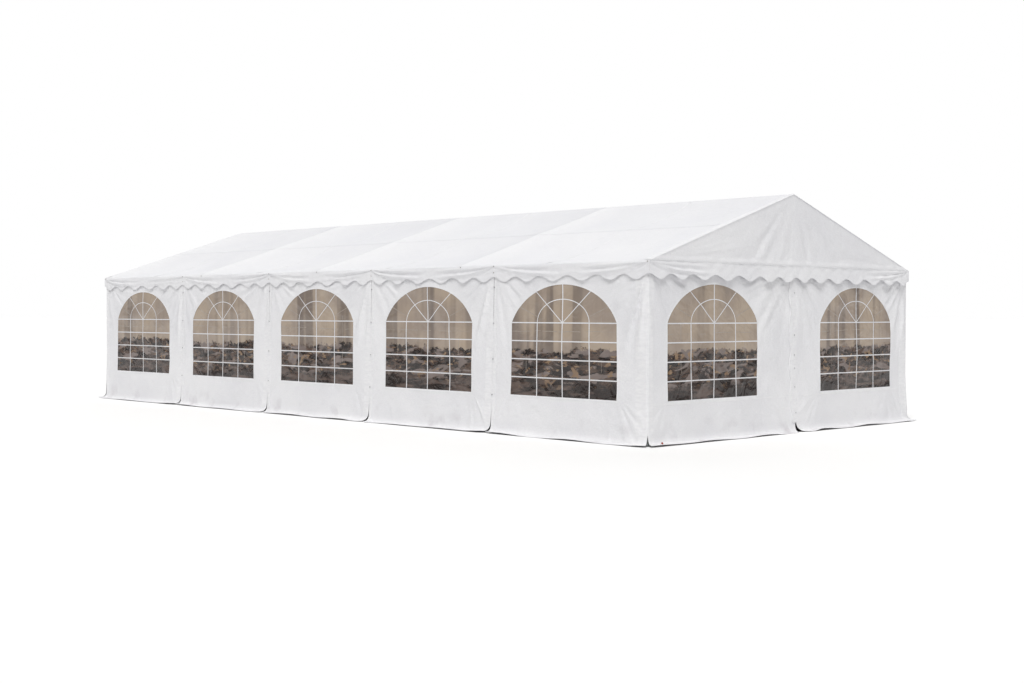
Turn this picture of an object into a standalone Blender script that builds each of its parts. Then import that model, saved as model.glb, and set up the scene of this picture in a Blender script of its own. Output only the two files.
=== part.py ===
"""Long white marquee: PVC walls with arched windows and a scalloped roof over a steel tube frame.

Metres, +Z up. The origin is on the ground in the middle of the tent. X runs along the tent, the
front long side faces -Y and the right gable faces +X. The back and the left gable repeat them.
"""
import math

import bmesh
import bpy
from mathutils import Vector

# Driving dimensions of the cover
HALF_LENGTH = 6.040
HALF_WIDTH = 2.730
SIDE_PANELS = 5
FIRST_PANEL = 2.486
SIDE_PANEL = 2.386
EAVE_HEIGHT = 2.046
RIDGE_HEIGHT = 2.934
SIDE_OVERHANG = 0.015
END_OVERHANG = 0.030
VALANCE_DEPTH = 0.200
SCALLOP_DEPTH = 0.060
SIDE_SCALLOPS = 30
END_SCALLOPS = 14
FABRIC = 0.006

# Wall panels: upright down to the bend, leaning out below it, with a hem that kicks out at the ground
WALL_TOP = 2.040
BEND_HEIGHT = 0.460
HEM_LEAN = 0.060
HEM_KICK = 0.060
KICK_HEIGHT = 0.100

# Joints between panels. Lower corners beside some joints are rounded away.
DOOR_SHIFT = 0.043
CUT_HEIGHT = 0.120
SIDE_CUT = 0.150
DOOR_LEFT_CUT = 0.070
DOOR_RIGHT_CUT = 0.170
CUT_STEPS = 5

# Arched windows. Each arch is part of an ellipse whose centre lies below the springing line.
WINDOW_WIDTH = 1.680
WINDOW_SILL = 0.485
WINDOW_SPRING = 1.352
WINDOW_CROWN = 1.799
ARCH_DROP = 0.200
SIDE_WINDOW_LEFT = 0.390
SIDE_WINDOW_PITCH = 2.390
END_WINDOW_LEFT = 0.338
END_WINDOW_RIGHT = 0.415
FILM = 0.002
ARCH_STEPS = 16

# Steel frame
BAYS = 4
TUBE_RADIUS = 0.025
SLEEVE_RADIUS = 0.0285
COLLAR_RADIUS = 0.030
FITTING_LENGTH = 0.150
COLLAR_REACH = 0.070
END_BAR_DROP = 0.095
FOOT_PLATE = 0.120
FOOT_THICKNESS = 0.006
TUBE_SIDES = 12
SMOOTH_ANGLE = math.radians(35)

# Touching pieces keep this gap
GAP = 0.0003
SCALLOP_STEPS = 6
LOBE_FULLNESS = 0.8

# Sizes worked out from them
EAVE_Y = HALF_WIDTH + SIDE_OVERHANG
END_X = HALF_LENGTH + END_OVERHANG
SLOPE = (RIDGE_HEIGHT - EAVE_HEIGHT) / EAVE_Y
SLOPE_COS = 1 / math.hypot(1, SLOPE)
POST_Y = HALF_WIDTH - FABRIC - GAP - COLLAR_RADIUS
END_FRAME_X = HALF_LENGTH - FABRIC - GAP - COLLAR_RADIUS
BAY_LENGTH = 2 * END_FRAME_X / BAYS
RAFTER_DROP = (FABRIC + GAP + COLLAR_RADIUS) / SLOPE_COS
EAVE_AXIS_Z = RIDGE_HEIGHT - SLOPE * POST_Y - RAFTER_DROP
RIDGE_AXIS_Z = RIDGE_HEIGHT - RAFTER_DROP
END_BAR_X = HALF_LENGTH - FABRIC - GAP - TUBE_RADIUS
END_BAR_Z = EAVE_AXIS_Z - END_BAR_DROP


def clear_scene():
    for old in list(bpy.data.objects):
        bpy.data.objects.remove(old, do_unlink=True)


def make_material(name, colour, roughness, metallic=0.0, alpha=1.0):
    material = bpy.data.materials.new(name)
    material.use_nodes = True
    shader = material.node_tree.nodes["Principled BSDF"]
    shader.inputs["Base Color"].default_value = (*colour, 1.0)
    shader.inputs["Roughness"].default_value = roughness
    shader.inputs["Metallic"].default_value = metallic
    shader.inputs["Alpha"].default_value = alpha
    material.diffuse_color = (*colour, alpha)
    return material


def add_object(name, mesh, material, location=(0, 0, 0), turn=0.0):
    node = bpy.data.objects.new(name, mesh)
    node.location = location
    node.rotation_euler = (0, 0, turn)
    if material and not mesh.materials:
        mesh.materials.append(material)
    bpy.context.scene.collection.objects.link(node)
    return node


def finish_mesh(name, bm):
    bmesh.ops.recalc_face_normals(bm, faces=bm.faces)
    mesh = bpy.data.meshes.new(name)
    bm.to_mesh(mesh)
    bm.free()
    return mesh


def loft(name, rings):
    """Closed solid through rings of the same number of points, capped at both ends."""
    bm = bmesh.new()
    loops = [[bm.verts.new(point) for point in ring] for ring in rings]
    for lower, upper in zip(loops, loops[1:]):
        for i in range(len(lower)):
            j = (i + 1) % len(lower)
            bm.faces.new((lower[i], lower[j], upper[j], upper[i]))
    bm.faces.new(loops[0])
    bm.faces.new(loops[-1])
    return finish_mesh(name, bm)


def stepped_tube_mesh(start, end, steps):
    """Round bar from start to end; steps lists (distance along it, radius from there on)."""
    start, end = Vector(start), Vector(end)
    along = (end - start).normalized()
    side = Vector((0, 1, 0)) if abs(along.x) > 0.5 else Vector((1, 0, 0))
    across = along.cross(side)
    stops = [distance for distance, _ in steps[1:]] + [(end - start).length]
    rings = []
    for (distance, radius), stop in zip(steps, stops):
        for reach in (distance, stop):
            centre = start + along * reach
            angles = [2 * math.pi * i / TUBE_SIDES for i in range(TUBE_SIDES)]
            rings.append([centre + radius * (side * math.cos(a) + across * math.sin(a)) for a in angles])
    return loft("tube", rings)


def tube_mesh(start, end, radius):
    return stepped_tube_mesh(start, end, [(0, radius)])


def block_mesh(low, high):
    corners = [(low[0], low[1]), (high[0], low[1]), (high[0], high[1]), (low[0], high[1])]
    return loft("block", [[(x, y, z) for x, y in corners] for z in (low[2], high[2])])


def combine(name, base, others, operation):
    """Base mesh with each other mesh added to it or cut from it."""
    body = add_object(name, base, None)
    tools = [add_object(f"{name}_tool", mesh, None) for mesh in others]
    for tool in tools:
        step = body.modifiers.new("combine", "BOOLEAN")
        step.operation = operation
        step.solver = "EXACT"
        step.object = tool
    bpy.context.view_layer.update()
    result = bpy.data.meshes.new_from_object(body.evaluated_get(bpy.context.evaluated_depsgraph_get()))
    result.name = name
    for used in [body, *tools]:
        bpy.data.objects.remove(used, do_unlink=True)
    return result


def shade_round(mesh):
    mesh.shade_smooth()
    mesh.set_sharp_from_angle(angle=SMOOTH_ANGLE)
    return mesh


# Windows
def window_outline(left, inset):
    """Outline in the panel's plane, anticlockwise from the lower left corner, drawn in by inset."""
    half = WINDOW_WIDTH / 2
    middle = left + half
    arch_height = WINDOW_CROWN - WINDOW_SPRING + ARCH_DROP
    arch_width = half / math.sqrt(1 - (ARCH_DROP / arch_height) ** 2)
    start = math.asin((half - inset) / (arch_width - inset))
    sill = WINDOW_SILL + inset
    points = [(middle - half + inset, sill), (middle + half - inset, sill)]
    for i in range(ARCH_STEPS + 1):
        angle = start * (1 - 2 * i / ARCH_STEPS)
        points.append((middle + (arch_width - inset) * math.sin(angle),
                       WINDOW_SPRING - ARCH_DROP + (arch_height - inset) * math.cos(angle)))
    return points


def window_mesh(left, inset, front, back):
    outline = window_outline(left, inset)
    return loft("window", [[(u, y, z) for u, z in outline] for y in (front, back)])


# Wall panels, in the frame of their wall: x to the right seen from outside, -y outwards
def hem_offset(z):
    lean = HEM_LEAN * max(0.0, 1 - z / BEND_HEIGHT)
    return lean + HEM_KICK * max(0.0, 1 - z / KICK_HEIGHT) ** 2


def edge_shift(cut, z):
    """How far an edge stands out past its joint at height z. An edge with no cut is at a tent corner."""
    if cut is None:
        return hem_offset(z) - GAP
    fall = max(0.0, 1 - z / CUT_HEIGHT)
    return -GAP - cut * (1 - math.sqrt(1 - fall ** 2))


def panel_mesh(name, left_edge, right_edge, cuts, window_left):
    heights = [CUT_HEIGHT * (i / CUT_STEPS) ** 2 for i in range(CUT_STEPS + 1)] + [BEND_HEIGHT, WALL_TOP]
    left_cut, right_cut = cuts
    rings = []
    for z in heights:
        out = -hem_offset(z)
        left = left_edge - edge_shift(left_cut, z)
        right = right_edge + edge_shift(right_cut, z)
        left_inner = left + (FABRIC if left_cut is None else 0)
        right_inner = right - (FABRIC if right_cut is None else 0)
        inner = out + FABRIC
        rings.append([(left, out, z), (right, out, z), (right_inner, inner, z), (left_inner, inner, z)])
    panel = loft(name, rings)
    cutter = window_mesh(window_left, 0.0, -FABRIC, 2 * FABRIC)
    return combine(name, panel, [cutter], "DIFFERENCE")


def add_wall(name, corner, turn, edges, cuts, window_lefts, materials):
    """A row of panels and their window films. Edges and windows are measured from the left corner."""
    for i, window_left in enumerate(window_lefts):
        panel = panel_mesh(f"{name}_wall_{i + 1}", edges[i], edges[i + 1], cuts[i], window_left)
        add_object(f"{name}_wall_{i + 1}", panel, materials["cover"], corner, turn)
        film = window_mesh(window_left, GAP, (FABRIC - FILM) / 2, (FABRIC + FILM) / 2)
        add_object(f"{name}_window_{i + 1}", film, materials["film"], corner, turn)


def add_walls(materials):
    """Five panels on each long side and two, which part as a doorway, at each gable."""
    inner = [FIRST_PANEL + SIDE_PANEL * i for i in range(SIDE_PANELS - 1)]
    side_edges = [0.0, *inner, 2 * HALF_LENGTH]
    side_cuts = [(None, SIDE_CUT), *[(0.0, SIDE_CUT)] * (SIDE_PANELS - 2), (0.0, None)]
    side_windows = [SIDE_WINDOW_LEFT + SIDE_WINDOW_PITCH * i for i in range(SIDE_PANELS)]
    end_edges = [0.0, HALF_WIDTH + DOOR_SHIFT, 2 * HALF_WIDTH]
    end_cuts = [(None, DOOR_LEFT_CUT), (DOOR_RIGHT_CUT, None)]
    end_windows = [END_WINDOW_LEFT, 2 * HALF_WIDTH - END_WINDOW_RIGHT - WINDOW_WIDTH]
    side = (side_edges, side_cuts, side_windows, materials)
    end = (end_edges, end_cuts, end_windows, materials)
    add_wall("front", (-HALF_LENGTH, -HALF_WIDTH, 0), 0.0, *side)
    add_wall("right", (HALF_LENGTH, -HALF_WIDTH, 0), math.pi / 2, *end)
    add_wall("back", (HALF_LENGTH, HALF_WIDTH, 0), math.pi, *side)
    add_wall("left", (-HALF_LENGTH, HALF_WIDTH, 0), 3 * math.pi / 2, *end)


# Roof cover
def scallop_edge(length, lobes):
    """Points along a valance's lower edge: full round lobes between softly rounded crests."""
    steps = lobes * SCALLOP_STEPS
    points = []
    for i in range(steps + 1):
        wave = (1 - math.cos(2 * math.pi * i / SCALLOP_STEPS)) / 2
        points.append((-length / 2 + length * i / steps, -SCALLOP_DEPTH * wave ** LOBE_FULLNESS))
    return points


def slope_height(y, drop=0.0):
    return RIDGE_HEIGHT - SLOPE * abs(y) - drop / SLOPE_COS


def roof_mesh(name):
    """The slope over -Y with the valance that hangs from its eave."""
    crest_z = EAVE_HEIGHT - VALANCE_DEPTH + SCALLOP_DEPTH
    eave_inner = EAVE_Y - FABRIC
    section = [(-GAP / 2, RIDGE_HEIGHT), (-EAVE_Y, EAVE_HEIGHT),
               (-eave_inner, slope_height(eave_inner, FABRIC)), (-GAP / 2, slope_height(0, FABRIC))]
    bm = bmesh.new()
    ends = [[bm.verts.new((x, y, z)) for y, z in section] for x in (-END_X, END_X)]
    hem = [[bm.verts.new((x, y, crest_z + drop)) for x, drop in scallop_edge(2 * END_X, SIDE_SCALLOPS)]
           for y in (-EAVE_Y, -eave_inner)]
    (ridge_0, eave_0, inner_0, under_0), (ridge_1, eave_1, inner_1, under_1) = ends
    bm.faces.new((ridge_0, ridge_1, eave_1, eave_0))
    bm.faces.new((eave_0, eave_1, *reversed(hem[0])))
    bm.faces.new((inner_1, inner_0, *hem[1]))
    bm.faces.new((under_0, under_1, inner_1, inner_0))
    bm.faces.new((ridge_0, ridge_1, under_1, under_0))
    for i in range(len(hem[0]) - 1):
        bm.faces.new((hem[0][i], hem[0][i + 1], hem[1][i + 1], hem[1][i]))
    for ridge, eave, inner, under, outer_hem, inner_hem in (
            (ridge_0, eave_0, inner_0, under_0, hem[0][0], hem[1][0]),
            (ridge_1, eave_1, inner_1, under_1, hem[0][-1], hem[1][-1])):
        bm.faces.new((ridge, eave, outer_hem, inner_hem, inner, under))
    return finish_mesh(name, bm)


def gable_mesh(name):
    """The gable's triangle and valance, a sheet whose outer face is at x = 0."""
    half = EAVE_Y - FABRIC - GAP
    crest_z = EAVE_HEIGHT - VALANCE_DEPTH + SCALLOP_DEPTH
    outline = [(y, crest_z + drop) for y, drop in scallop_edge(2 * half, END_SCALLOPS)]
    outline += [(half, slope_height(half, FABRIC) - GAP), (0, slope_height(0, FABRIC) - GAP),
                (-half, slope_height(half, FABRIC) - GAP)]
    return loft(name, [[(x, y, z) for y, z in outline] for x in (-FABRIC, 0)])


# Steel frame
def frame_mesh(name, collar_low, collar_high):
    """Two posts, two rafters and their fittings. The collars along x carry the rails."""
    ridge = Vector((0, 0, RIDGE_AXIS_Z))
    bits = []
    for side in (-1, 1):
        eave = Vector((0, side * POST_Y, EAVE_AXIS_Z))
        foot = Vector((0, eave.y, FOOT_THICKNESS / 2))
        post = eave.z - foot.z
        rafter = (ridge - eave).length
        bits.append(stepped_tube_mesh(foot, eave, [(0, TUBE_RADIUS), (post - FITTING_LENGTH, SLEEVE_RADIUS)]))
        bits.append(stepped_tube_mesh(eave, ridge, [
            (0, SLEEVE_RADIUS), (FITTING_LENGTH, TUBE_RADIUS),
            ((rafter - FITTING_LENGTH) / 2, SLEEVE_RADIUS), ((rafter + FITTING_LENGTH) / 2, TUBE_RADIUS),
            (rafter - FITTING_LENGTH, SLEEVE_RADIUS)]))
        bits.append(block_mesh((-FOOT_PLATE / 2, eave.y - FOOT_PLATE / 2, 0),
                               (FOOT_PLATE / 2, eave.y + FOOT_PLATE / 2, FOOT_THICKNESS)))
    joints = rail_points()
    for y, z in joints:
        bits.append(tube_mesh((collar_low, y, z), (collar_high, y, z), COLLAR_RADIUS))
    solid = combine(name, bits[0], bits[1:], "UNION")
    reach = 2 * COLLAR_REACH
    bores = [tube_mesh((collar_low - reach, y, z), (collar_high + reach, y, z), TUBE_RADIUS + GAP)
             for y, z in joints]
    return shade_round(combine(name, solid, bores, "DIFFERENCE"))


def rail_points():
    """Where the five rails cross a frame: eaves, middles of the slopes and ridge."""
    middle_y = POST_Y / 2
    middle_z = (EAVE_AXIS_Z + RIDGE_AXIS_Z) / 2
    return [(-POST_Y, EAVE_AXIS_Z), (-middle_y, middle_z), (0, RIDGE_AXIS_Z), (middle_y, middle_z),
            (POST_Y, EAVE_AXIS_Z)]


def add_frames(steel):
    middle = frame_mesh("middle_frame", -COLLAR_REACH, COLLAR_REACH)
    right = frame_mesh("right_frame", -2 * COLLAR_REACH, COLLAR_RADIUS)
    left = frame_mesh("left_frame", -COLLAR_RADIUS, 2 * COLLAR_REACH)
    meshes = [left, *[middle] * (BAYS - 1), right]
    for i, mesh in enumerate(meshes):
        add_object(f"frame_{i + 1}", mesh, steel, (-END_FRAME_X + BAY_LENGTH * i, 0, 0))


def add_rails(steel):
    names = ["front_eave_rail", "front_slope_rail", "ridge_rail", "back_slope_rail", "back_eave_rail"]
    reach = END_FRAME_X + COLLAR_RADIUS
    for name, (y, z) in zip(names, rail_points()):
        add_object(name, shade_round(tube_mesh((-reach, y, z), (reach, y, z), TUBE_RADIUS)), steel)
    bar_end = POST_Y - SLEEVE_RADIUS - GAP
    for name, side in (("left_gable_bar", -1), ("right_gable_bar", 1)):
        x = side * END_BAR_X
        bar = tube_mesh((x, -bar_end, END_BAR_Z), (x, bar_end, END_BAR_Z), TUBE_RADIUS)
        add_object(name, shade_round(bar), steel)


def build():
    clear_scene()
    materials = {
        "cover": make_material("white_pvc", (0.86, 0.87, 0.88), 0.45),
        "film": make_material("tinted_window_film", (0.33, 0.27, 0.22), 0.15, alpha=0.6),
        "steel": make_material("galvanised_steel", (0.55, 0.56, 0.57), 0.4, metallic=1.0),
    }
    add_walls(materials)
    roof = roof_mesh("roof")
    add_object("front_roof", roof, materials["cover"])
    add_object("back_roof", roof, materials["cover"], turn=math.pi)
    gable = gable_mesh("gable")
    add_object("right_gable", gable, materials["cover"], (END_X, 0, 0))
    add_object("left_gable", gable, materials["cover"], (-END_X, 0, 0), math.pi)
    add_frames(materials["steel"])
    add_rails(materials["steel"])


build()
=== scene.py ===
import math
import random

import bpy
import numpy as np
from mathutils import Matrix, Vector


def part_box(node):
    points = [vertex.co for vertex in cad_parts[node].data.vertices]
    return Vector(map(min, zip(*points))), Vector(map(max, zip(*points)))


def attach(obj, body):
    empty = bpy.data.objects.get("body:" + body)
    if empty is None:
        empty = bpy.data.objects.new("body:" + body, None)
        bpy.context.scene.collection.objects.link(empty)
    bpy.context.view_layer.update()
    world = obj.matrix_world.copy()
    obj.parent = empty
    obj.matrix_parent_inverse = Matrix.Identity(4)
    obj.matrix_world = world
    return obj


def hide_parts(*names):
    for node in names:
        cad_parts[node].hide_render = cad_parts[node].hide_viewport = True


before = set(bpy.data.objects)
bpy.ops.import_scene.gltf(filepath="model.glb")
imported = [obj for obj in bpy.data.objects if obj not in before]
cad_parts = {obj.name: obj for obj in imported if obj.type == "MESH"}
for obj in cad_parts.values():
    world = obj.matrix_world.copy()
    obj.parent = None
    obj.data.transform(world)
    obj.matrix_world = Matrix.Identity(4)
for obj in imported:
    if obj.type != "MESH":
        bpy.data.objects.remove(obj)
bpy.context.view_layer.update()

# Camera
# Eye level, out from the near corner, so that the long front runs away to the left and the right
# gable to the right. No shift and no depth of field.
CAMERA_PLACE = (15.938, -14.484, 1.4633)
CAMERA_YAW, CAMERA_PITCH, CAMERA_ROLL = 135.663, -1.160, 0.099
FOCAL_PIXELS = 1395.44
PICTURE_WIDTH = 1024
SENSOR_WIDTH = 36.0
FARTHEST_SEEN = 1000.0


def add_camera():
    camera = bpy.data.objects.new("camera", bpy.data.cameras.new("camera"))
    yaw, tilt = math.radians(CAMERA_YAW), math.radians(CAMERA_PITCH)
    forward = Vector((math.cos(tilt) * math.cos(yaw), math.cos(tilt) * math.sin(yaw), math.sin(tilt)))
    turn = forward.to_track_quat("-Z", "Y").to_matrix().to_4x4()
    roll = Matrix.Rotation(math.radians(CAMERA_ROLL), 4, "Z")
    camera.matrix_world = Matrix.Translation(CAMERA_PLACE) @ turn @ roll
    camera.data.sensor_width = SENSOR_WIDTH
    camera.data.lens = FOCAL_PIXELS / PICTURE_WIDTH * SENSOR_WIDTH
    camera.data.clip_end = FARTHEST_SEEN
    bpy.context.scene.collection.objects.link(camera)
    bpy.context.scene.camera = camera


add_camera()


# Studio
# A pale matt floor without an edge in view, a soft white dome, a broad key light from high on the
# camera's side and a weak fill from the far side. White shows as white.
FLOOR_SIZE = 800.0
DOME_SEEN, DOME_LIGHT = 1.0, 0.3
SUNS = {  # name: (direction towards the light, strength, softness in degrees, colour)
    "key": ((0.316, -0.369, 0.874), 2.55, 25, "#FFFEFC"),
    "fill": ((-0.55, 0.60, 0.45), 0.60, 60, "#F6F9FF"),
}


def linear(colour):
    """Linear RGBA of an sRGB hex colour."""
    channels = [int(colour[i:i + 2], 16) / 255 for i in (1, 3, 5)]
    return (*[c / 12.92 if c <= 0.04045 else ((c + 0.055) / 1.055) ** 2.4 for c in channels], 1.0)


def add_node(tree, kind, inputs=None, **settings):
    """Adds a shader node; inputs maps sockets to values or to the sockets that feed them."""
    node = tree.nodes.new(f"ShaderNode{kind}")
    for name, value in settings.items():
        setattr(node, name, value)
    for socket, value in (inputs or {}).items():
        if isinstance(value, bpy.types.NodeSocket):
            tree.links.new(value, node.inputs[socket])
        else:
            node.inputs[socket].default_value = value
    return node


def start_material(name, colour, **inputs):
    """A material with one Principled shader; returns it with its node tree and that shader."""
    material = bpy.data.materials.new(name)
    material.use_nodes = True
    shader = material.node_tree.nodes["Principled BSDF"]
    shader.inputs["Base Color"].default_value = linear(colour)
    for socket, value in inputs.items():
        shader.inputs[socket.replace("_", " ")].default_value = value
    return material, material.node_tree, shader


def add_suns():
    for name, (towards, strength, softness, colour) in SUNS.items():
        sun = bpy.data.objects.new(name, bpy.data.lights.new(name, "SUN"))
        sun.rotation_euler = Vector(towards).to_track_quat("Z", "Y").to_euler()
        sun.data.energy = strength
        sun.data.angle = math.radians(softness)
        sun.data.color = linear(colour)[:3]
        bpy.context.scene.collection.objects.link(sun)


def add_dome():
    """White all round: full strength where the camera sees it, weaker as a light."""
    world = bpy.data.worlds.new("white_dome")
    world.use_nodes = True
    tree = world.node_tree
    seen = add_node(tree, "LightPath").outputs["Is Camera Ray"]
    levels = {0: seen, 1: DOME_SEEN - DOME_LIGHT, 2: DOME_LIGHT}
    strength = add_node(tree, "Math", levels, operation="MULTIPLY_ADD")
    tree.nodes["Background"].inputs["Color"].default_value = (1, 1, 1, 1)
    tree.links.new(strength.outputs[0], tree.nodes["Background"].inputs["Strength"])
    bpy.context.scene.world = world
    bpy.context.scene.view_settings.view_transform = "Standard"


def add_floor():
    """Matt white paint, whose faint roller texture keeps it from shining."""
    half = FLOOR_SIZE / 2
    corners = [(-half, -half, 0), (half, -half, 0), (half, half, 0), (-half, half, 0)]
    mesh = bpy.data.meshes.new("studio_floor")
    mesh.from_pydata(corners, [], [(0, 1, 2, 3)])
    floor = bpy.data.objects.new("studio_floor", mesh)
    material, tree, shader = start_material("matt_white_paint", "#FAFAFA", Roughness=0.9)
    grain = add_node(tree, "TexNoise", {"Scale": 40.0, "Detail": 3.0})
    bump = add_node(tree, "Bump", {"Height": grain.outputs["Fac"], "Strength": 0.05, "Distance": 0.002})
    tree.links.new(bump.outputs[0], shader.inputs["Normal"])
    mesh.materials.append(material)
    bpy.context.scene.collection.objects.link(floor)


add_suns()
add_dome()
add_floor()


# Wall panels
# Fourteen sheets hang from the eaves to the ground, five on each long side and two on each gable:
# woven polyester scrim coated with white PVC on both faces. Tension draws folds from their top
# corners round the arched window, and the hem turns out flat on the ground.
PVC_WHITE, PVC_SHADE, PVC_SOIL = "#EBEBED", "#DFDFE3", "#B4AEB4"
PVC_THICKNESS = 0.001
SCRIM_PITCH = 0.012     # real threads lie 1 mm apart; drawn coarser so that they show
WELD_PITCH = 0.022      # ripples that the hot-air nozzle leaves, drawn out sideways
WELD_STRETCH = (0.3, 0.3, 1)
CREASE_SIZE = 0.16      # soft creases of a sheet that is packed in a bag
CLOUD_SIZE = 0.9
SOIL_SIZE = 0.30
SOIL_LOW, SOIL_HEIGHT, SOIL_SHARE = 0.04, 0.30, 0.6
CAD_SHEET = 0.006       # thickness of the wall solids, whose middle the window films share
ARCH_SPRING = 1.352
ARCH_DROP = 0.200       # the arch's ellipse has its centre this far below the springing line
ARCH_SHARE = 0.62       # part of the arch that faces the top edge of the panel
HEM_BEND = 0.080
HEM_TURN = math.radians(82)
HEM_LIP = 0.030
HEM_CLEAR = 0.005
HEM_LEAN, LEAN_HEIGHT = 0.030, 0.70     # the wall leans out this far, from this height down
HEM_LIFT, LIFT_REACH = 0.032, 0.12      # ripples of the hem: their height, and how far along it they grow
RIPPLE_LENGTH, RIPPLE_SEED = 0.9, 7
HEM_TOP = HEM_BEND * math.sin(HEM_TURN) + HEM_CLEAR
HEM_REACH = HEM_BEND * HEM_TURN + HEM_LIP - HEM_TOP
LACE_TOP, LACE_LOW = 1.36, 0.47     # the joints gape above the first height and below the second
TOP_SLIT, MIDDLE_SLIT, LOW_SLIT = 0.0065, 0.0015, 0.0160
JOINT_TOP = 2.04
CORNER_ROUND = 0.016
EDGE_REACH = 0.55       # how far from a joint the sheet gives way sideways
FOLD_FADE = 0.12        # distance in which the folds fade towards an edge or the window
EAVE_HOLD, EAVE_SHARE = 1.90, 0.35      # above this height the folds keep this share
FILM_SHARE = 0.2        # share of the folds that is left in the window
INWARD_SHARE = 0.6      # folds reach less far in than out
LOW_FAN_RISE = 0.06     # the low fans start this far above the sill
SWELLS = ((0.9, 0.012), (0.35, 0.004))      # length and depth of the slack in a sheet
FANS = [  # left and right: folds in a full turn, reach and slope, from the top and the low corner
    ((20, 1.30, 0.38), (16, 0.75, 0.30)), ((20, 1.30, 0.66), (16, 0.75, 0.44))]
RING_COUNT = 19
ARCH_POINTS = 60
EDGE_SAMPLES = {"sill": 90, "side": 90, "top": 96}
SHARP_ANGLE = math.radians(40)
CORNERS = [  # at each wall's left end: height of the gap there, and the cuts left and right of it
    (0.42, (0.020, 0.085)), (0.13, (0.050, 0.042)), (0.16, (0.060, 0.020)), (0.20, (0.040, 0.030))]
SIDE_JOINT = {"height": 0.140, "cuts": (0.150, 0.012), "lean": 0.045}
DOOR_JOINT = {"height": 0.155, "cuts": (0.090, 0.210), "lean": -0.030}
WALL_SEEDS = (0, 31, 66, 93)        # with these no fold reaches a post


def pvc_material(name, white, shade, roughness, welded=False):
    """Satin white skin with a fine grain, soft creases and faint grey soiling near the ground.

    Where an edge is doubled and welded, short level ripples take the place of the scrim's grain.
    """
    material, tree, shader = start_material(name, white, Roughness=roughness, IOR=1.52)
    place = add_node(tree, "TexCoord").outputs["Object"]
    height = add_node(tree, "SeparateXYZ", {0: place}).outputs["Z"]
    clouds = {"Vector": place, "Scale": 1 / CLOUD_SIZE, "Detail": 5.0}
    clouds = add_node(tree, "TexNoise", clouds).outputs["Fac"]
    scrim = {"Vector": place, "Scale": 1 / SCRIM_PITCH, "Detail": 2.0}
    if welded:
        stretched = add_node(tree, "Mapping", {"Vector": place, "Scale": WELD_STRETCH}).outputs[0]
        scrim = {"Vector": stretched, "Scale": 1 / WELD_PITCH, "Detail": 1.0}
    scrim = add_node(tree, "TexNoise", scrim).outputs["Fac"]
    both = add_node(tree, "Mix", {0: 0.75 if welded else 0.45, 2: clouds, 3: scrim}).outputs[0]
    spread = add_node(tree, "MapRange", {0: both, 1: 0.35, 2: 0.65}).outputs[0]
    tint = {0: spread, 6: linear(white), 7: linear(shade)}
    tint = add_node(tree, "Mix", tint, data_type="RGBA").outputs[2]
    patches = {"Vector": place, "Scale": 1 / SOIL_SIZE, "Detail": 3.0}
    patches = add_node(tree, "TexNoise", patches).outputs["Fac"]
    patches = add_node(tree, "MapRange", {0: patches, 1: 0.55, 2: 0.75, 4: SOIL_SHARE}).outputs[0]
    low = add_node(tree, "MapRange", {0: height, 1: SOIL_HEIGHT, 2: SOIL_LOW}).outputs[0]
    soil = add_node(tree, "Math", {0: patches, 1: low}, operation="MULTIPLY").outputs[0]
    soiled = add_node(tree, "Mix", {0: soil, 6: tint, 7: linear(PVC_SOIL)}, data_type="RGBA")
    tree.links.new(soiled.outputs[2], shader.inputs["Base Color"])
    creases = {"Vector": place, "Scale": 1 / CREASE_SIZE, "Detail": 6.0, "Roughness": 0.65, "Distortion": 0.2}
    creases = add_node(tree, "TexNoise", creases).outputs["Fac"]
    grain = {"Height": scrim, "Strength": 0.15 if welded else 0.5, "Distance": 0.002}
    grain = add_node(tree, "Bump", grain).outputs[0]
    soft = add_node(tree, "Bump", {"Height": creases, "Normal": grain, "Strength": 0.8, "Distance": 0.020})
    tree.links.new(soft.outputs[0], shader.inputs["Normal"])
    return material


def smooth_step(value):
    t = np.clip(value, 0, 1)
    return t * t * (3 - 2 * t)


def fan_folds(a, b, count, reach, slope, seed):
    """Folds that spread from (0, 0) like a fan, wider and deeper with distance until they fade."""
    dice = random.Random(seed)
    starts = [dice.uniform(0, 6.28) for _ in range(4)]
    distance, turn = np.hypot(a, b) + 1e-6, np.arctan2(a, b)
    wander = 1.4 * np.sin(5 * turn + starts[0]) + 0.8 * np.sin(4 * distance + starts[1])
    strength = 0.62 + 0.38 * np.sin(11 * turn + starts[2])
    fade = smooth_step(distance / 0.10) * smooth_step((reach - distance) / (0.7 * reach))
    fine = 0.35 * np.sin(2.3 * count * turn - wander + starts[3])
    return slope / count * distance * strength * fade * (np.sin(count * turn + wander) + fine)


def slow_waves(a, b, seed, size, depth):
    """Uneven swell of a slack sheet: four crossed sine waves about size long."""
    dice = random.Random(seed)
    total = np.zeros_like(a)
    for _ in range(4):
        angle = dice.uniform(0, math.pi)
        wave = size * dice.uniform(0.7, 1.6)
        along = a * math.cos(angle) + b * math.sin(angle)
        total += np.sin(2 * math.pi * along / wave + dice.uniform(0, 6.28))
    return total * depth / 4


def resample(points, count):
    """Points evenly spaced along a line, both ends kept."""
    points = np.asarray(points, float)
    steps = np.hypot(*np.diff(points, axis=0).T)
    reached = np.concatenate([[0], np.cumsum(steps)])
    wanted = np.linspace(0, reached[-1], count)
    return np.stack([np.interp(wanted, reached, points[:, k]) for k in range(2)], axis=1)


def eased(count):
    """Shares from 0 to 1, closer together at both ends."""
    return (1 - np.cos(np.linspace(0, math.pi, count))) / 2


def grid_faces(rows, columns, wrap):
    """Quads of a grid of points, closed round in the columns if wrap."""
    last = columns if wrap else columns - 1
    i, j = np.meshgrid(np.arange(rows - 1), np.arange(last), indexing="ij")
    k = (j + 1) % columns
    corners = (i * columns + j, i * columns + k, (i + 1) * columns + k, (i + 1) * columns + j)
    return np.stack(corners, axis=-1).reshape(-1, 4)


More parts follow.
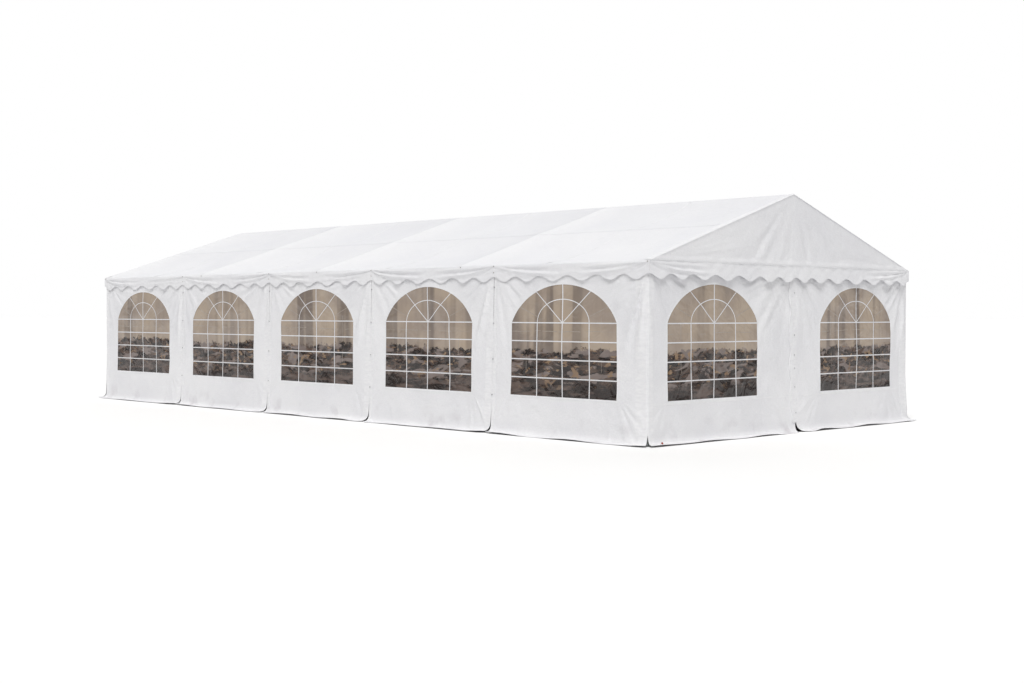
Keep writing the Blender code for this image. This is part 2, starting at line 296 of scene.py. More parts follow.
def sheet_part(points, thickness, wrap=False):
    """Closed thin sheet behind a grid of points.

    Seen from outside, the rows follow each other upwards and the columns to the right. With wrap,
    the last column joins the first.
    """
    rows, columns, _ = points.shape
    if wrap:
        across = np.roll(points, -1, axis=1) - np.roll(points, 1, axis=1)
    else:
        across = np.gradient(points, axis=1)
    normals = np.cross(across, np.gradient(points, axis=0))
    normals /= np.linalg.norm(normals, axis=-1, keepdims=True) + 1e-12
    behind = points - thickness * normals
    vertices = np.concatenate([points.reshape(-1, 3), behind.reshape(-1, 3)])
    front = grid_faces(rows, columns, wrap)
    size = rows * columns
    first_row, first_column = np.arange(columns), np.arange(rows) * columns
    edges = [first_row[::-1], first_row + size - columns]
    if not wrap:
        edges += [first_column, (first_column + columns - 1)[::-1]]
    faces = [front, front[:, ::-1] + size]
    for edge in edges:
        ahead = np.roll(edge, -1)
        quads = np.stack([ahead + size, edge + size, edge, ahead], axis=-1)
        faces.append(quads if wrap else quads[:-1])
    return vertices, np.concatenate(faces).tolist()


def make_piece(name, parts):
    """One smooth object from (vertices, faces, material) parts, riding on the tent."""
    materials = list(dict.fromkeys(material for *_, material in parts))
    vertices, faces, slots = [], [], []
    first = 0
    for points, part_faces, material in parts:
        vertices.append(points)
        faces += [[k + first for k in face] for face in part_faces]
        slots += [materials.index(material)] * len(part_faces)
        first += len(points)
    mesh = bpy.data.meshes.new(name)
    mesh.from_pydata(np.concatenate(vertices).tolist(), [], faces)
    for material in materials:
        mesh.materials.append(material)
    mesh.polygons.foreach_set("material_index", slots)
    mesh.shade_smooth()
    mesh.set_sharp_from_angle(angle=SHARP_ANGLE)
    piece = bpy.data.objects.new(name, mesh)
    bpy.context.scene.collection.objects.link(piece)
    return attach(piece, "root")


class Joint:
    """Upright edge where two panels meet: laced along a wall, or mitred at a corner of the tent."""

    def __init__(self, place, height, cuts, lean=0.0, corner=False):
        self.place, self.height, self.cuts, self.lean, self.corner = place, height, cuts, lean, corner

    def shift(self, z, out, side):
        """Sideways shift of the edge of the panel on the joint's right (side 1) or left (side -1)."""
        fall = np.clip((self.height - z) / (self.height + HEM_REACH), 0, 1)
        cut = self.cuts[(side + 1) // 2]
        if self.corner:
            return side * (cut * fall ** 1.3 - out)
        rounding = cut * (1 - np.sqrt(1 - fall ** 2))
        slit = MIDDLE_SLIT + (TOP_SLIT - MIDDLE_SLIT) * smooth_step((z - LACE_TOP) / 0.05)
        slit = slit + LOW_SLIT * np.clip((LACE_LOW - z) / LACE_LOW, 0, 1) ** 2
        return side * (slit / 2 + rounding) - self.lean * np.clip(1 - z / JOINT_TOP, 0, 1)


class Panel:
    """One wall panel. In its plane u runs right from the wall's left corner, seen from outside."""

    def __init__(self, wall, number, seed):
        self.wall, self.number, self.seed = wall, number, seed
        self.joints = wall["joints"][number - 1:number + 1]
        self.left, self.right = (joint.place for joint in self.joints)
        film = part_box(f"{wall['name']}_window_{number}")
        spans = sorted((point - wall["corner"]).dot(wall["along"]) for point in film)
        self.window = (*spans, film[0].z, film[1].z)
        self.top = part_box(f"{wall['name']}_wall_{number}")[1].z

    def arch(self, inset=0.0):
        """Centre and half axes of the arch's ellipse, and its angle where the window's side ends."""
        u0, u1, _, crown = self.window
        half = (u1 - u0) / 2
        height = crown - ARCH_SPRING + ARCH_DROP
        width = half / math.sqrt(1 - (ARCH_DROP / height) ** 2)
        start = math.asin((half - inset) / (width - inset))
        return (u0 + u1) / 2, ARCH_SPRING - ARCH_DROP, width - inset, height - inset, start

    def arch_points(self, first, last, count, inset=0.0):
        middle, base, width, height, start = self.arch(inset)
        angles = np.linspace(first, last, count) * start
        return np.stack([middle + width * np.sin(angles), base + height * np.cos(angles)], axis=1)

    def outline(self, inset=0.0):
        """The window's outline from its lower left corner, in four runs that face the panel's edges."""
        u0, u1, sill, _ = self.window
        low_left, low_right = (u0 + inset, sill + inset), (u1 - inset, sill + inset)
        right = np.concatenate([[low_right], self.arch_points(1, ARCH_SHARE, ARCH_POINTS, inset)])
        top = self.arch_points(ARCH_SHARE, -ARCH_SHARE, 2 * ARCH_POINTS, inset)
        left = np.concatenate([self.arch_points(-ARCH_SHARE, -1, ARCH_POINTS, inset), [low_left]])
        runs = [([low_left, low_right], "sill"), (right, "side"), (top, "top"), (left, "side")]
        return np.concatenate([resample(line, EDGE_SAMPLES[kind] + 1)[:-1] for line, kind in runs])

    def rim(self):
        """The panel's own edge, point for point with the outline."""
        low, high = -HEM_REACH, self.top
        corners = [(self.left, low), (self.right, low), (self.right, high), (self.left, high)]
        runs = zip(corners, corners[1:] + corners[:1], ("sill", "side", "top", "side"))
        return np.concatenate([resample(pair, EDGE_SAMPLES[kind] + 1)[:-1] for *pair, kind in runs])

    def folds(self, u, z):
        """How far the slack and the tension folds carry the sheet outwards."""
        flow, width = u - self.left, self.right - self.left
        u0, u1, sill, _ = self.window
        middle, base, arch_width, arch_height, _ = self.arch()
        beside = np.maximum(np.abs(u - middle) - (u1 - u0) / 2, sill - z)
        above = arch_height * (np.hypot((u - middle) / arch_width, (z - base) / arch_height) - 1)
        away = np.where(z > ARCH_SPRING, above, beside)
        clear = FILM_SHARE + (1 - FILM_SHARE) * smooth_step(away / FOLD_FADE)
        hanging = smooth_step((sill - z) / FOLD_FADE)
        out = sum(slow_waves(flow, z, self.seed + 500 * k, *swell) for k, swell in enumerate(SWELLS))
        for k, (top, low) in enumerate(((flow, u - u0), (width - flow, u1 - u))):
            top_fan, low_fan = FANS[k]
            out = out + clear * fan_folds(top, self.top - z, *top_fan, self.seed + 100 * k)
            start = sill + LOW_FAN_RISE
            out = out + hanging * fan_folds(low, start - z, *low_fan, self.seed + 100 * k + 50)
        pin = smooth_step(flow / FOLD_FADE) * smooth_step((width - flow) / FOLD_FADE)
        below_eave = EAVE_SHARE + (1 - EAVE_SHARE) * smooth_step((EAVE_HOLD - z) / FOLD_FADE)
        pin = pin * smooth_step((self.top - z) / FOLD_FADE) * below_eave
        return np.where(out < 0, INWARD_SHARE * out, out) * pin

    def place(self, u, z, lift=0.0):
        """World points of the hanging sheet. Below the bend, z counts on along the turned-out hem."""
        u, z = np.broadcast_arrays(np.asarray(u, float), np.asarray(z, float))
        wall, gaps = self.wall, (u - self.left, self.right - u)
        out = self.folds(u, z)
        for gap, joint in zip(gaps, self.joints):
            if joint.corner:
                turn = math.pi / 4 * np.clip(1 - gap / CORNER_ROUND, 0, 1)
                out = out - CORNER_ROUND * (1 - np.cos(turn))
        out = out + HEM_LEAN * np.clip(1 - z / LEAN_HEIGHT, 0, 1.1) ** 1.5
        below = np.clip(HEM_TOP - z, 0, None)
        angle = np.clip(below / HEM_BEND, 0, HEM_TURN)
        lip = np.clip(below - HEM_BEND * HEM_TURN, 0, None)
        out = out + HEM_BEND * (1 - np.cos(angle)) + lip * math.sin(HEM_TURN)
        height = np.where(below > 0, HEM_TOP - HEM_BEND * np.sin(angle) - lip * math.cos(HEM_TURN), z)
        start = wall["corner"]
        ripple = slow_waves(u + start.x + start.y, np.zeros_like(u), RIPPLE_SEED, RIPPLE_LENGTH, 1.0)
        ripple = np.clip(ripple * 0.5 + 0.5, 0, 1) ** 1.3
        height = height + np.clip(below / LIFT_REACH, 0, 1) ** 2 * HEM_LIFT * ripple
        shift = 0
        for gap, joint, side in zip(gaps, self.joints, (1, -1)):
            shift = shift + smooth_step(1 - gap / EDGE_REACH) * joint.shift(z, out, side)
        out = out + lift * np.cos(angle)
        height = height + lift * np.sin(angle)
        flat = np.array(start)[:2] + np.multiply.outer(u + shift, np.array(wall["along"])[:2])
        flat = flat + np.multiply.outer(out, np.array(wall["out"])[:2])
        return np.concatenate([flat, height[..., None]], axis=-1)


def make_walls():
    """The four walls, with corners and joints read from the solids."""
    half_length = sum(point.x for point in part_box("right_window_1")) / 2 + CAD_SHEET / 2
    half_width = -sum(point.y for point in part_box("front_window_1")) / 2 + CAD_SHEET / 2
    walls = []
    for k, (name, count, along, corner, joint) in enumerate((
            ("front", 5, (1, 0, 0), (-half_length, -half_width, 0), SIDE_JOINT),
            ("right", 2, (0, 1, 0), (half_length, -half_width, 0), DOOR_JOINT),
            ("back", 5, (-1, 0, 0), (half_length, half_width, 0), SIDE_JOINT),
            ("left", 2, (0, -1, 0), (-half_length, half_width, 0), DOOR_JOINT))):
        along, corner = Vector(along), Vector(corner)
        length = 2 * (half_length if count == 5 else half_width)
        joints = [Joint(0.0, *CORNERS[k], corner=True)]
        for number in range(1, count):
            place = max((point - corner).dot(along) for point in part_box(f"{name}_wall_{number}"))
            joints.append(Joint(place, **joint))
        joints.append(Joint(length, *CORNERS[(k + 1) % 4], corner=True))
        walls.append({"name": name, "corner": corner, "along": along, "length": length,
                      "out": Vector((along.y, -along.x, 0)), "joints": joints})
    return walls


def panel_sheet(panel):
    """The sheet in rings from the window's outline to the panel's own edge."""
    inner, outer = panel.outline(), panel.rim()
    grid = inner[None] + (outer - inner)[None] * eased(RING_COUNT)[:, None, None]
    return sheet_part(panel.place(grid[::-1, :, 0], grid[::-1, :, 1]), PVC_THICKNESS, wrap=True)


pvc = pvc_material("pvc_coated_polyester", PVC_WHITE, PVC_SHADE, 0.45)
walls = make_walls()
panels = [Panel(wall, number, seed + number) for wall, seed in zip(walls, WALL_SEEDS)
          for number in range(1, len(wall["joints"]))]
for panel in panels:
    name = panel.wall["name"]
    piece = make_piece(f"{name}_panel_{panel.number}", [(*panel_sheet(panel), pvc)])
    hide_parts(f"{name}_wall_{panel.number}")


# Hems and welds of the walls
# Each panel's upright edges are folded double and welded, wide on the right and narrow on the
# left; at the doors in the gables the right one laps over its neighbour. A narrow weld runs
# round each window and across the gables at sill height.
HEM_WHITE, HEM_SHADE = "#EBEBED", "#E4E4E7"
RIGHT_HEM, RIGHT_CORNER_HEM = 0.125, 0.175
LEFT_HEM, CORNER_HEM = 0.055, 0.090
DOOR_LAP = 0.042
LAP_LOW = 0.10          # the lap ends this high above the ground
LAP_WAVE, LAP_DRIFT = 0.35, 0.022
WELD_WIDTH = 0.022
GABLE_WELD_HEIGHT, GABLE_WELD_INSET, GABLE_WELD_POINTS = 0.452, 0.01, 90
HEM_RISE, LAP_RISE, WELD_RISE = 0.0030, 0.0070, 0.0016
HEM_SPACE, WELD_SPACE = 0.0004, 0.0003      # left under a hem or weld, so that no faces coincide
HEM_ROWS, HEM_COLUMNS = 80, 9


def strip_part(place, line, width, lift, thickness, columns=2):
    """Flat strip along a line of (a, b) points on a surface."""
    line = np.asarray(line, float)
    ahead = np.gradient(line, axis=0)
    ahead /= np.linalg.norm(ahead, axis=1, keepdims=True)
    side = np.stack([ahead[:, 1], -ahead[:, 0]], axis=1)
    offsets = np.linspace(-width / 2, width / 2, columns)
    grid = line[:, None, :] + side[:, None, :] * offsets[None, :, None]
    return sheet_part(place(grid[..., 0], grid[..., 1], lift), thickness)


def upright(a, low, high, rows=HEM_ROWS):
    """Points of an upright line, closer together at its ends."""
    return np.stack([np.full(rows, a), low + (high - low) * eased(rows)], axis=1)


def hem_parts(panel):
    door = panel.wall["name"] in ("left", "right")
    laps = door and panel.number == 1
    left_width = CORNER_HEM if panel.joints[0].corner else LEFT_HEM
    right_width = RIGHT_CORNER_HEM if panel.joints[1].corner else RIGHT_HEM
    right_end = panel.right + (DOOR_LAP if laps else 0)
    hems = [(panel.left, panel.left + left_width, HEM_RISE),
            (right_end - right_width, right_end, LAP_RISE if laps else HEM_RISE)]
    parts = []
    for start, end, rise in hems:
        line = upright((start + end) / 2, -HEM_REACH, panel.top)
        if laps and end > panel.right:
            line = line[line[:, 1] > LAP_LOW]
            line[:, 0] += slow_waves(line[:, 1], line[:, 1] * 0, panel.seed, LAP_WAVE, LAP_DRIFT)
        strip = strip_part(panel.place, line, end - start, rise, rise - HEM_SPACE, HEM_COLUMNS)
        parts.append((*strip, pvc_hem))
    outline = panel.outline(-WELD_WIDTH / 2)
    welds = [np.concatenate([outline, outline[:2]])]
    if door:
        ends = panel.left + GABLE_WELD_INSET, panel.right - GABLE_WELD_INSET
        welds.append([(u, GABLE_WELD_HEIGHT) for u in np.linspace(*ends, GABLE_WELD_POINTS)])
    for line in welds:
        strip = strip_part(panel.place, line, WELD_WIDTH, WELD_RISE, WELD_RISE - WELD_SPACE)
        parts.append((*strip, pvc_hem))
    return parts


pvc_hem = pvc_material("pvc_welded_double", HEM_WHITE, HEM_SHADE, 0.5, welded=True)
for wall in walls:
    parts = [part for panel in panels if panel.wall is wall for part in hem_parts(panel)]
    make_piece(f"{wall['name']}_hems", parts)


# Laces of the joints
# Elastic loops sewn into one panel's edge hold it to the next one's, some 45 cm apart along each
# joint. One orange plastic peg hook grips the hem beside the near corner.
LACE_HEIGHTS = (1.78, 1.34, 0.905, 0.468)
DOOR_LACE_HEIGHTS = (1.72, 1.20, 0.955, 0.79, 0.56, 0.24)
LACE_PLACE = 0.003      # right of the joint
LACE_REACH, LACE_HALF, LACE_BOW = 0.010, 0.006, 0.006
LACE_RADIUS = 0.0018
LACE_POINTS = 28
HOOK_PLACE, HOOK_LIFT = (0.190, -0.012), 0.006
HOOK_BEND, HOOK_OVAL, HOOK_TAIL = 0.014, 0.8, 0.004
HOOK_TURN = (-0.2, math.pi * 1.1)
HOOK_RADIUS = 0.0070


def surface_frame(place, a, b, lift=0.0):
    """Point of a surface, with its right, up and outward unit vectors."""
    step = 0.002
    centre, right, up = place(np.array([a, a + step, a]), np.array([b, b, b + step]), lift)
    right, up = right - centre, up - centre
    return centre, *(way / np.linalg.norm(way) for way in (right, up, np.cross(right, up)))


def rod_part(path, radius, sides=8, closed=False):
    """Round rod along a path of points: joined into a loop if closed, or else capped at its ends."""
    path = np.asarray(path, float)
    if closed:
        ahead = np.roll(path, -1, axis=0) - np.roll(path, 1, axis=0)
    else:
        ahead = np.gradient(path, axis=0)
    ahead /= np.linalg.norm(ahead, axis=1, keepdims=True)
    flat_normal = np.linalg.svd(path - path.mean(axis=0) + 1e-9)[2][-1]
    first = np.cross(ahead, flat_normal)
    first /= np.linalg.norm(first, axis=1, keepdims=True)
    second = np.cross(ahead, first)
    turn = np.linspace(0, 2 * math.pi, sides, endpoint=False)[None, :, None]
    rings = path[:, None] + radius * (np.cos(turn) * first[:, None] + np.sin(turn) * second[:, None])
    faces = grid_faces(len(path), sides, True).tolist()
    last = (len(path) - 1) * sides
    if closed:
        faces += [[last + j, last + (j + 1) % sides, (j + 1) % sides, j] for j in range(sides)]
    else:
        faces += [list(range(sides))[::-1], list(range(last, last + sides))]
    return rings.reshape(-1, 3), faces


def loop_part(place, a, b, lift):
    """Elastic loop over a joint: two strands that bow outwards between its ends."""
    centre, right, up, outward = surface_frame(place, a, b, lift)
    turn = np.linspace(0, 2 * math.pi, LACE_POINTS, endpoint=False)[:, None]
    along, side = np.cos(turn), np.sin(turn)
    bow = LACE_BOW * (1 - along ** 2)
    path = centre + LACE_REACH * along * right + LACE_HALF * side * up + bow * outward
    return rod_part(path, LACE_RADIUS, closed=True)


def hook_part(place, a, b):
    """Peg hook: a short J of thick plastic rod that grips the hem's edge."""
    centre, _, up, outward = surface_frame(place, a, b, HOOK_LIFT)
    turn = np.linspace(*HOOK_TURN, 18)[:, None]
    path = centre + HOOK_BEND * (np.cos(turn) * up + np.sin(turn) * outward * HOOK_OVAL)
    tail = path[-1] - HOOK_TAIL * outward
    return rod_part([*path, tail], HOOK_RADIUS, sides=10)


def small_material(name, colour, dark, scale, **inputs):
    """Material of a small fitting: its colour clouded with a darker one, its skin faintly rough."""
    material, tree, shader = start_material(name, colour, **inputs)
    place = add_node(tree, "TexCoord").outputs["Object"]
    noise = add_node(tree, "TexNoise", {"Vector": place, "Scale": scale, "Detail": 3.0}).outputs["Fac"]
    tint = add_node(tree, "Mix", {0: noise, 6: linear(colour), 7: linear(dark)}, data_type="RGBA")
    bump = add_node(tree, "Bump", {"Height": noise, "Strength": 0.3, "Distance": 0.001})
    tree.links.new(tint.outputs[2], shader.inputs["Base Color"])
    tree.links.new(bump.outputs[0], shader.inputs["Normal"])
    return material


# Woven cover: a matt grey line, clouded every 2.5 mm.
elastic = small_material("woven_elastic_cord", "#A4A4A8", "#7C7C80", 400.0, Roughness=0.8)
# Moulded and scuffed: half matt, with darker clouds 17 mm across.
orange = small_material("orange_polypropylene", "#B03C1C", "#6E2412", 60.0, Roughness=0.5)
for wall in walls:
    heights = DOOR_LACE_HEIGHTS if wall["name"] in ("left", "right") else LACE_HEIGHTS
    parts = [(*loop_part(panel.place, panel.left + LACE_PLACE, z, HEM_RISE + LACE_RADIUS), elastic)
             for panel in panels if panel.wall is wall and panel.number > 1 for z in heights]
    make_piece(f"{wall['name']}_laces", parts)
near_panel = next(panel for panel in panels if panel.wall is walls[1])
make_piece("peg_hook", [(*hook_part(near_panel.place, *HOOK_PLACE), orange)])


# Window films and lattices
# Soft PVC film with a brown tint, welded behind each opening. Its colour is painted: tan with soft
# bands above, and below, painted shade and reflections, dark and mottled. White PVC strips are welded
# on it as glazing bars: four by four panes, and a fan of spokes and an inner arc in the arch. The
# film keeps pale creases from its packing, milky and with a painted glint along them.
FILM_BROWN = "#A3968A"
FILM_PATTERNS = {  # name: scale to the metre, detail, its share upwards, shift, roughness, distortion
    "band strength": (0.45, 1.0, 0.0, 5.0, 0.55, 0.0),
    "bands": (3.1, 2.0, 0.05, 0.0, 0.55, 0.0),
    "fine bands": (14.0, 3.0, 0.04, 0.0, 0.55, 0.0),
    "pale clouds": (1.6, 3.0, 1.0, 2.0, 0.55, 0.0),
    "blobs": (3.4, 4.0, 2.8, 11.0, 0.45, 0.6),
    "blob tint": (4.0, 3.0, 2.0, 3.0, 0.55, 0.0),
    "spots": (7.0, 5.0, 1.8, 23.0, 0.6, 0.4),
    "spot tint": (5.0, 2.0, 1.5, 7.0, 0.55, 0.0),
    "dark clouds": (5.0, 6.0, 3.6, 31.0, 0.6, 0.2),
    "streaks": (2.0, 5.0, 5.0, 41.0, 0.6, 0.3),
    "ragged edge": (9.0, 6.0, 1.2, 0.0, 0.65, 0.0),
    "slow edge": (0.5, 1.0, 0.0, 15.0, 0.55, 0.0),
    "wrinkles": (6.0, 2.0, 1.0, 0.0, 0.5, 0.8),
}
FILM_STEPS = [  # share, the pattern that it follows, from where to where it rises, least and most
    ("band strength", "band strength", 0.42, 0.60, 0.35, 0.70), ("bands", "bands", 0.50, 0.60, 0, 1),
    ("pale clouds", "pale clouds", 0.35, 0.65, 0, 1), ("blobs", "blobs", 0.53, 0.58, 0, 1),
    ("spots", "spots", 0.58, 0.63, 0, 1), ("dark clouds", "dark clouds", 0.44, 0.60, 0, 1),
    ("streaks", "streaks", 0.46, 0.62, 0, 1), ("above deep", "level", 0.79, 0.93, 0, 1),
    ("above murk", "level", 1.240, 1.275, 0, 1)]
# The dark layers below are painted shade and reflections.
FILM_LAYERS = [  # layer, the share of its second colour, its two colours or layers
    ("tan", "fine bands", "#90837A", "#A99A8C"), ("clouded tan", "pale clouds", "tan", "#B0A08F"),
    ("upper", "bands", "clouded tan", "#655A54"), ("blob", "blob tint", "#5A4F4B", "#928580"),
    ("spot", "spot tint", "#6A4C36", "#A08A70"), ("dark", "dark clouds", "#211714", "#57463D"),
    ("blobbed", "blobs", "dark", "blob"), ("murk", "spots", "blobbed", "spot"),
    ("deep", "streaks", "#231916", "#61534D"), ("lower", "above deep", "deep", "murk"),
    ("film", "above murk", "lower", "upper")]
RAGGED_RISE, SLOW_RISE = 0.26, 0.20     # how far the edges between the layers wander up and down
FILM_SET_BACK = 0.0020
FILM_THICKNESS = 0.0005
FILM_OVERLAP = 0.012
FILM_SWELL = 0.004
FILM_COLUMNS, FILM_ROWS = 44, 34
BAR_WIDTH, SPOKE_WIDTH = 0.014, 0.010
WORN_WIDTH = 0.009      # the low spokes are worn, and no longer quite white
BAR_THICKNESS = 0.0009
BAR_STEP = 0.03
PANES = 4
SPOKE_ANGLE = math.radians(40)
INNER_RISE = 0.617
LOW_SPOKE = ((0.425, 0.075), (0.715, 0.190))
FOLD_HEIGHT, FOLD_OFFSET, FOLD_INSET = 1.245, 0.60, 0.01
FOLD_TOP, FOLD_RISE = 1.42, 0.3     # the upright creases run from this height to this far above the sill
FOLD_DRIFT, FOLD_WIDTHS = 0.003, (0.003, 0.010)
FOLD_RUN, FOLD_GAP = (4, 14), (0, 4)    # steps in each piece of a crease, and between two


def film_material():
    """Glossy film: tan with soft upright bands above; painted shade and reflections below, mottled in level
    streaks.
    """
    inputs = {"Roughness": 0.14, "IOR": 1.53, "Alpha": 0.94}
    material, tree, shader = start_material("tinted_soft_pvc_film", FILM_BROWN, **inputs)
    place = add_node(tree, "TexCoord").outputs["Object"]
    parts = {"level": add_node(tree, "SeparateXYZ", {0: place}).outputs["Z"]}
    for name, (number, detail, up, shift, roughness, distortion) in FILM_PATTERNS.items():
        moved = {"Vector": place, "Location": (shift, shift, shift), "Scale": (1, 1, up)}
        noise = {"Vector": add_node(tree, "Mapping", moved).outputs[0], "Scale": number,
                 "Detail": detail, "Roughness": roughness, "Distortion": distortion}
        parts[name] = add_node(tree, "TexNoise", noise).outputs["Fac"]
    for edge, rise in (("ragged edge", RAGGED_RISE), ("slow edge", SLOW_RISE)):
        raised = {0: parts[edge], 1: rise, 2: parts["level"]}
        parts["level"] = add_node(tree, "Math", raised, operation="MULTIPLY_ADD").outputs[0]
    for name, pattern, low, high, least, most in FILM_STEPS:
        step = {0: parts[pattern], 1: low, 2: high, 3: least, 4: most}
        parts[name] = add_node(tree, "MapRange", step, interpolation_type="SMOOTHSTEP").outputs[0]
    banded = {0: parts["bands"], 1: parts["band strength"]}
    parts["bands"] = add_node(tree, "Math", banded, operation="MULTIPLY").outputs[0]
    for name, share, *pair in FILM_LAYERS:
        first, second = (linear(c) if c.startswith("#") else parts[c] for c in pair)
        layer = {0: parts[share], 6: first, 7: second}
        parts[name] = add_node(tree, "Mix", layer, data_type="RGBA").outputs[2]
    bump = add_node(tree, "Bump", {"Height": parts["wrinkles"], "Strength": 0.6, "Distance": 0.02})
    tree.links.new(parts["film"], shader.inputs["Base Color"])
    tree.links.new(bump.outputs[0], shader.inputs["Normal"])
    return material


def film_place(panel):
    """Surface of the film: the panel's own, set back and swelling a little in the middle."""
    u0, u1, sill, crown = panel.window

    def place(u, z, lift=0.0):
        across, up = np.clip((u - u0) / (u1 - u0), 0, 1), np.clip((z - sill) / (crown - sill), 0, 1)
        inner = np.sin(math.pi * across) * np.sin(math.pi * up)
        swell = FILM_SWELL * inner * (1 + slow_waves(u, z, panel.seed, 0.5, 1.5))
        return panel.place(u, z, lift + swell - FILM_SET_BACK)
    return place


def film_sheet(panel):
    u0, u1, sill, _ = panel.window
    middle, base, width, height, _ = panel.arch(-FILM_OVERLAP)
    u = np.linspace(u0 - FILM_OVERLAP, u1 + FILM_OVERLAP, FILM_COLUMNS)
    top = base + height * np.sqrt(1 - ((u - middle) / width) ** 2)
    share = np.linspace(0, 1, FILM_ROWS)[:, None]
    z = (sill - FILM_OVERLAP) * (1 - share) + top[None] * share
    return sheet_part(film_place(panel)(np.broadcast_to(u, z.shape), z), FILM_THICKNESS)


def straight(start, end):
    return np.linspace(start, end, max(2, int(math.dist(start, end) / BAR_STEP)))


def lattice_lines(panel):
    """Centre lines and widths of the glazing bars, as points (u, z)."""
    u0, u1, sill, crown = panel.window
    middle, _, width, height, _ = panel.arch()

    def reach(angle):
        """Distance from the fan's centre to the arch at an angle above the springing line."""
        a = (math.cos(angle) / width) ** 2 + (math.sin(angle) / height) ** 2
        b = 2 * math.sin(angle) * ARCH_DROP / height ** 2
        return (-b + math.sqrt(b * b - 4 * a * ((ARCH_DROP / height) ** 2 - 1))) / (2 * a)

    lines = []
    for k in range(1, PANES):
        u = u0 + (u1 - u0) * k / PANES
        lines.append((straight((u, sill), (u, crown if 2 * k == PANES else ARCH_SPRING)), BAR_WIDTH))
        z = sill + (ARCH_SPRING - sill) * k / PANES
        lines.append((straight((u0, z), (u1, z)), BAR_WIDTH))
    lines.append((straight((u0, ARCH_SPRING), (u1, ARCH_SPRING)), BAR_WIDTH))
    turn = np.linspace(0, math.pi, 40)
    across, up = (u1 - u0) / 4, INNER_RISE * (crown - ARCH_SPRING)
    arc = np.stack([middle + across * np.cos(turn), ARCH_SPRING + up * np.sin(turn)], axis=1)
    lines.append((arc, SPOKE_WIDTH))
    length = reach(SPOKE_ANGLE)
    for side in (-1, 1):
        end = (middle + side * length * math.cos(SPOKE_ANGLE), ARCH_SPRING + length * math.sin(SPOKE_ANGLE))
        lines.append((straight((middle, ARCH_SPRING), end), SPOKE_WIDTH))
        ends = [(middle + side * a, ARCH_SPRING + b) for a, b in LOW_SPOKE]
        lines.append((straight(*ends), WORN_WIDTH))
    return lines


def crease_lines(panel):
    """Broken, slightly wandering lines where the film was folded for packing: milky, with a painted glint."""
    dice = random.Random(panel.seed)
    u0, u1, sill, _ = panel.window
    spans = [((u0 + FOLD_INSET, FOLD_HEIGHT), (u1 - FOLD_INSET, FOLD_HEIGHT))]
    for side in (-1, 1):
        u = (u0 + u1) / 2 + side * FOLD_OFFSET
        spans.append(((u, FOLD_TOP), (u, sill + FOLD_RISE)))
    lines = []
    for start, end in spans:
        points = straight(start, end)
        drift = np.cumsum([dice.uniform(-FOLD_DRIFT, FOLD_DRIFT) for _ in points])
        points = points + np.stack([drift, drift[::-1]], axis=1)
        first = 0
        while first + FOLD_RUN[0] < len(points):
            last = first + dice.randint(*FOLD_RUN)
            lines.append((points[first:last], dice.uniform(*FOLD_WIDTHS)))
            first = last + dice.randint(*FOLD_GAP)
    return [line for line in lines if len(line[0]) > 2]


film = film_material()
# Plain white strip cut from the same PVC: a little greyer than the walls, with the same grain.
pvc_bar = pvc_material("pvc_bar_strip", "#E6E6E8", "#D2D2D6", 0.45)
# Film that a fold has left milky: a pale half-clear line, clouded every 33 mm; on creases, painted glint too.
milky_film = small_material("creased_soft_pvc_film", "#CFC6BD", "#A79B8F", 30.0, Roughness=0.3, Alpha=0.6)
for panel in panels:
    name = panel.wall["name"]
    sheet = make_piece(f"{name}_film_{panel.number}", [(*film_sheet(panel), film)])
    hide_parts(f"{name}_window_{panel.number}")
    strips = [(line, width, BAR_THICKNESS, milky_film if width == WORN_WIDTH else pvc_bar)
              for line, width in lattice_lines(panel)]
    # The crease lines are milky film with a painted glint along them.
    strips += [(line, width, BAR_THICKNESS / 3, milky_film) for line, width in crease_lines(panel)]
    parts = [(*strip_part(film_place(panel), line, width, rise, rise), material)
             for line, width, rise, material in strips]
    make_piece(f"{name}_lattice_{panel.number}", parts)


# Roof cover
# Two slopes of the same PVC, each one sheet from the ridge over the eave to the scalloped edge of
# its valance. It sags between rafters and rails, stands up in a crease over each rafter, and is
# welded double along both gable ends, down the middle of each bay and over the slope's rail.
EAVE_HEIGHT = 2.046
EAVE_ROUND, EAVE_FADE = 0.018, 0.06
END_ROLL, END_HOLD = 0.008, 0.10        # the ends are rolled over, and lie flat beside the roll
RIDGE_HOLD, RIDGE_ROUND = 0.20, 0.08
CREASE_RISE, CREASE_DEPTH, CREASE_WIDTH = 0.013, 0.015, 0.060
CREASE_BLUNT = 0.012
SPAN_DEEPER = 1.6       # the creases grow by up to this share half-way between two rails
RAIL_SHARE = 0.49       # share of the slope's length from the ridge to the rail in its middle
SPAN_SAG, RAFTER_SAG = 0.040, 0.004
ROOF_SLACK = (0.8, 0.006)
CREST_HEIGHT, SCALLOP_DEPTH = 1.908, 0.064
SIDE_LOBES, END_LOBES = 6, 7        # in each stretch of valance between two seams
LOBE_SQUEEZE = 0.018
LOBE_STEPS = 11
SLOPE_ROWS, ROUND_ROWS, VALANCE_ROWS = 28, 5, 25
VALANCE_DEPTH = 0.2
VALANCE_HOLD, HOLD_SHARE = 0.30, 0.45   # beside a seam a valance keeps this share of its flare
EAVE_FLARE, EAVE_DRAPE = 0.003, 1.3     # how far the long valances stand out; strength of their folds
SWAGS = [  # depth that each fold of the valance tends to, distance in which it does so, its height
    (0.035, 0.30, 0.0095), (0.075, 0.26, -0.0110), (0.115, 0.34, 0.0125), (0.150, 0.20, -0.0095)]
SWAG_FALL, SWAG_REACH = 0.012, 1.25
SWAG_WIDTHS = (0.007, 0.016)        # at a seam, and how much more half a metre from it
